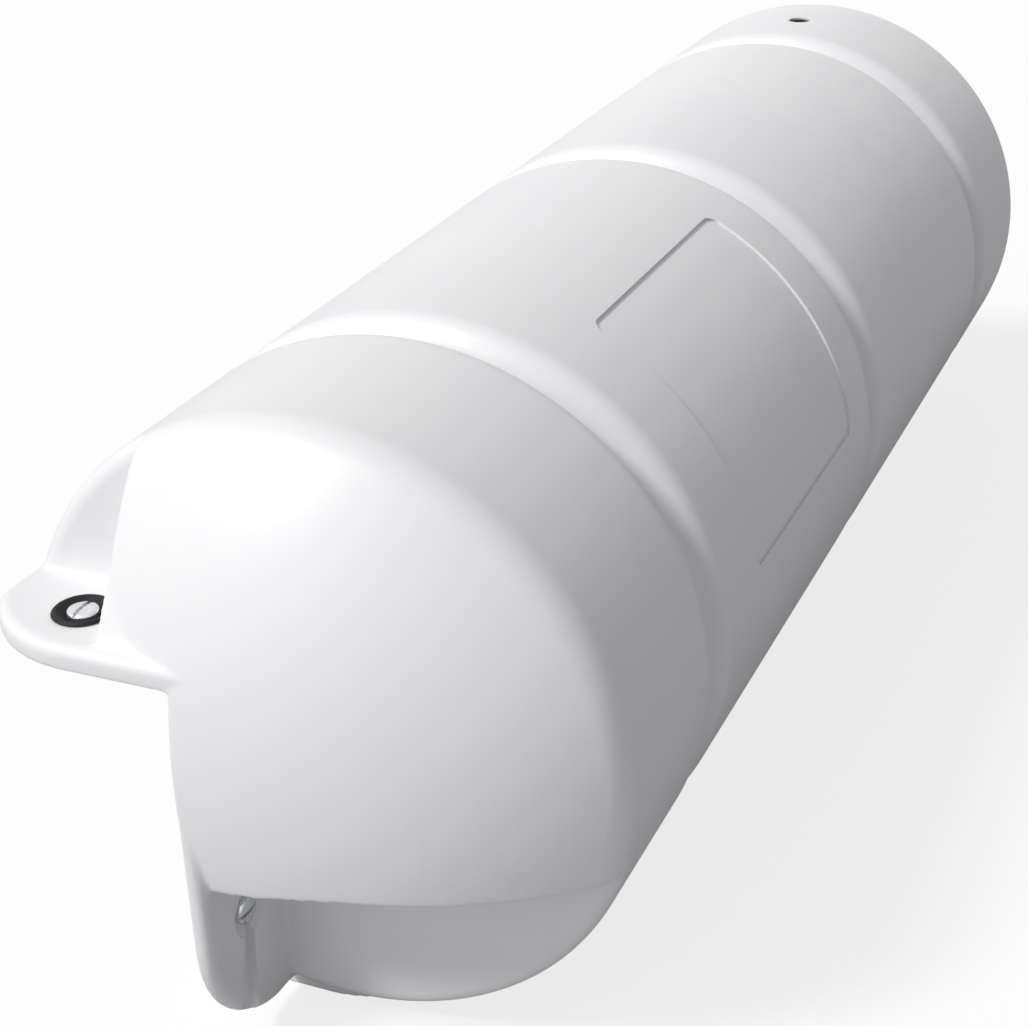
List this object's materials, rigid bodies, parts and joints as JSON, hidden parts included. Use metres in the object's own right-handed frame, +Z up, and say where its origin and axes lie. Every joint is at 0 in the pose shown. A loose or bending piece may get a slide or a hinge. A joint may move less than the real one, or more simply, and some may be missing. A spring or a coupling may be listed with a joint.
{
  "type": "dock fender",
  "caption": "Three-quarter round moulded dock fender with domed ends, rope grooves round the barrel, a notch that sits over a dock's edge, and screw flanges in end pockets.",
  "frame": {"origin": "middle of the flat seat that lies on the deck, half way along the fender", "axes": "+Y along the fender towards the end with the filler plug; the dock is on the -X side and below the deck seat; +Z up, away from the deck"},
  "size_m": [0.2441, 0.776, 0.2555],
  "materials": {
    "fender_plastic": "satin, cool white moulded plastic",
    "screw_steel": "bright zinc-plated steel",
    "black_rubber": "matt black rubber"
  },
  "bodies": {
    "root": {"fender_body": "fender_plastic", "deck_screw_near": "screw_steel", "deck_washer_near": "black_rubber", "side_screw_near": "screw_steel", "deck_screw_far": "screw_steel", "deck_washer_far": "black_rubber", "side_screw_far": "screw_steel", "filler_plug": "black_rubber"}
  },
  "joints": []
}
